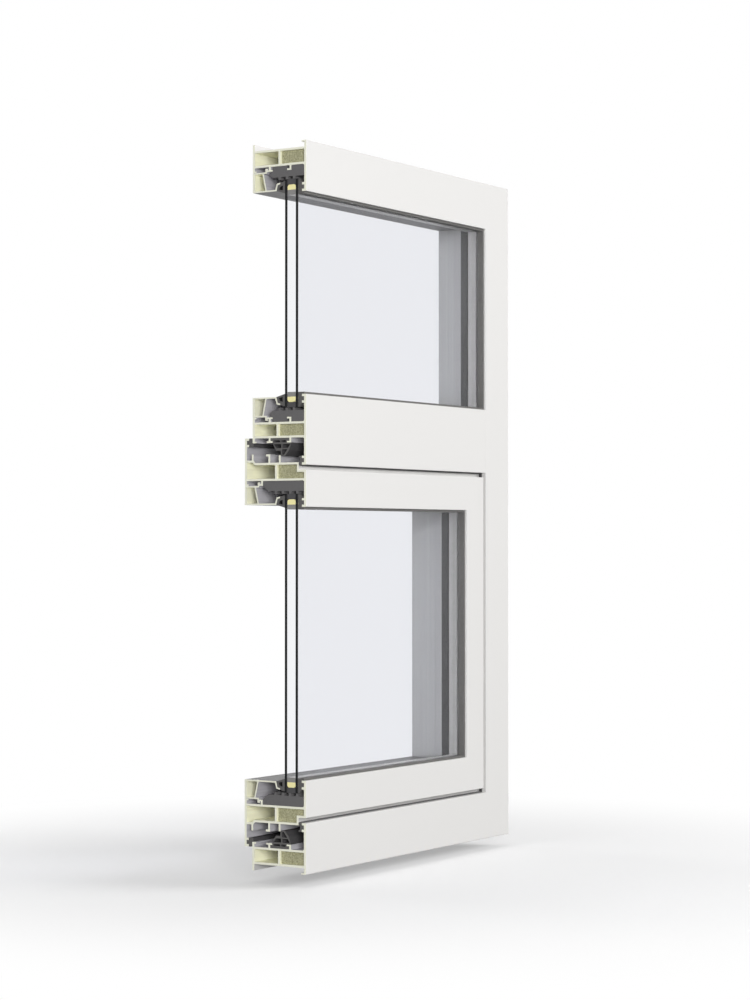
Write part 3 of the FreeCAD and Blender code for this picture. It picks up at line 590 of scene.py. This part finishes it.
put(rubber("outer_rubber", OUTER_RUBBER), "fixed_outer_gasket", "sash_outer_gasket")
put(rubber("inner_rubber", INNER_RUBBER_SHADED), "fixed_inner_gasket", "sash_inner_gasket")
put(rubber("frame_rubber", FRAME_RUBBER_SHADED), "stop_gasket", "centre_gasket", "overlap_gasket")


# The glazing beads: hollow glass-fibre bars that clip over the hooks of the profiles and press
# the inner gasket on the glass. They are white on the room side, grey in the rebate, raw in the
# hollow, and a darker grey on the side round the glass.
BEAD_ROUGHNESS = 0.38
# That darker grey. It is deepest on the level beads, for the shade that they show in the picture.
UPRIGHT_BEAD = (0.40, 0.395, 0.376)
LEVEL_BEAD = (0.15, 0.148, 0.144)
# The heights of each hollow. The transom's are the frame's, taken from its middle line.
FRAME_HOLLOW = (30.3 * MM, 47.5 * MM)
TRANSOM_HOLLOW = tuple(edge - FRAME_FACE + TRANSOM_FACE / 2 for edge in FRAME_HOLLOW)
SASH_HOLLOW = (17.0 * MM, 33.5 * MM)
# The leg beside the hollow leans towards the glass as it rises.
BEAD_WIDTH = 17 * MM
LEG_FOOT = 10.5 * MM
LEG_LEAN = 0.2


def bead_material(name, height_of, hollow, back, paint, stretch):
    """The finish of one bead. hollow gives the heights of its raw inside, back the depth of its
    room side, and paint the grey of the side round the glass."""
    made, tree, shader = new_material(name)
    x, y, z = position(tree)
    deep = maths(tree, "SUBTRACT", y, FRONT_Y)
    high = height_of(tree, x, z)
    leg = maths(tree, "ADD", maths(tree, "MULTIPLY", high, -LEG_LEAN),
                back - BEAD_WIDTH + LEG_FOOT)
    raw = maths(tree, "MULTIPLY", between(tree, deep, leg, back - SKIN + HAIR),
                between(tree, high, *hollow))
    room_side = maths(tree, "GREATER_THAN", deep, back - HAIR)
    glass_side = maths(tree, "GREATER_THAN", high, hollow[1] + HAIR)
    grey = blend_colours(tree, glass_side, drawn(tree, REBATE_GREY, stretch, PAINT_LINES),
                         drawn(tree, paint, stretch, PAINT_LINES))
    painted = blend_colours(tree, room_side, grey, WHITE_PAINT)
    lined = blend_colours(tree, raw, painted, RAW_LAMINATE)
    tree.links.new(blend_colours(tree, sawn_end(tree, x), lined, SAWN_LAMINATE),
                   shader.inputs["Base Color"])
    satin(tree, shader, BEAD_ROUGHNESS)
    return made


for finish, piece, height_of, hollow, back, paint, stretch in (
    ("head_bead", "fixed_head_bead", from_head, FRAME_HOLLOW, FRAME_DEPTH, LEVEL_BEAD, LEVEL),
    ("jamb_bead", "fixed_jamb_bead", from_jamb, FRAME_HOLLOW, FRAME_DEPTH, UPRIGHT_BEAD, UPRIGHT),
    ("transom_bead", "fixed_transom_bead", from_transom, TRANSOM_HOLLOW, FRAME_DEPTH, LEVEL_BEAD,
     LEVEL),
    ("sash_top_bead", "sash_top_bead", from_sash_top, SASH_HOLLOW, SASH_DEPTH, LEVEL_BEAD, LEVEL),
    ("sash_foot_bead", "sash_bottom_bead", from_sash_foot, SASH_HOLLOW, SASH_DEPTH, LEVEL_BEAD,
     LEVEL),
    ("sash_stile_bead", "sash_stile_bead", from_sash_right, SASH_HOLLOW, SASH_DEPTH, UPRIGHT_BEAD,
     UPRIGHT),
):
    put(bead_material(finish, height_of, hollow, back, paint, stretch), piece)
